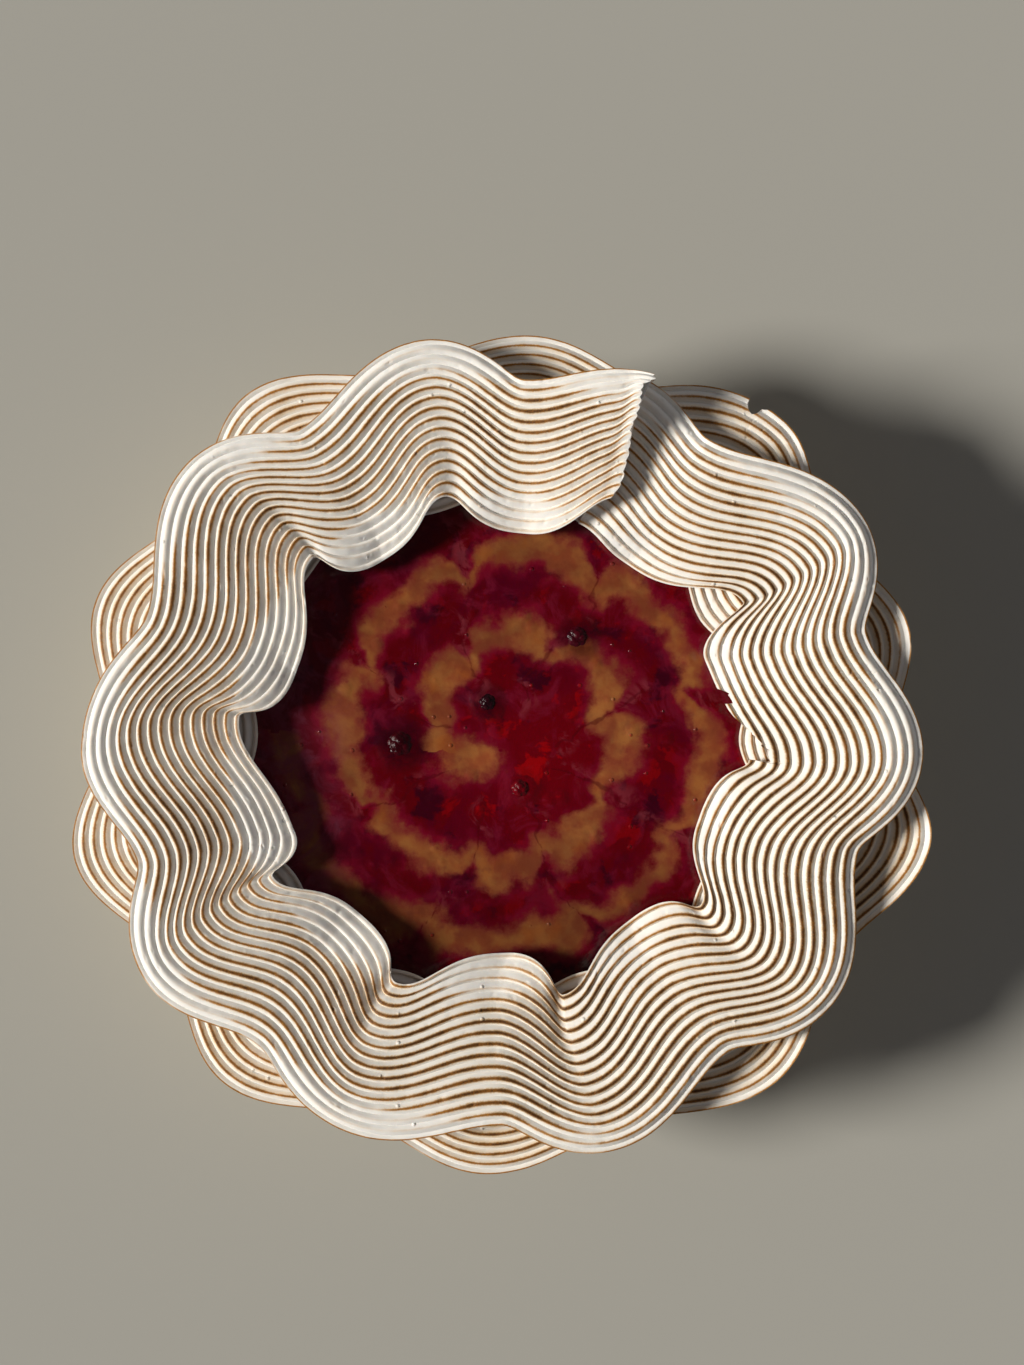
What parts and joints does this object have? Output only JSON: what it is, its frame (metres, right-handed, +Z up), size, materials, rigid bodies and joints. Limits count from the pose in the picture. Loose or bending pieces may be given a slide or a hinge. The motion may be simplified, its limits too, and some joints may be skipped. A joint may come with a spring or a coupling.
{
  "type": "cheesecake",
  "caption": "Round cheesecake with a glossy marbled berry and curd jelly centre, ringed by two stacked wavy ribbons of toasted piped meringue.",
  "frame": {"origin": "centre of the cake's underside, on the surface it stands on", "axes": "+Z up, +Y towards the top of the view from above, +X to its right"},
  "size_m": [0.2267, 0.2227, 0.0691],
  "materials": {
    "meringue": "matt white meringue with toasted brown crests",
    "baked_cheese": "pale baked cheesecake",
    "berry_jelly": "glossy crimson jelly marbled with ochre curd",
    "berry_skin": "dark shiny berry"
  },
  "bodies": {
    "root": {"cheesecake_body": "baked_cheese", "jelly_top": "berry_jelly", "berry_left": "berry_skin", "berry_upper": "berry_skin", "berry_middle": "berry_skin", "berry_lower": "berry_skin", "ruffle_lower": "meringue", "ruffle_upper": "meringue"}
  },
  "joints": []
}
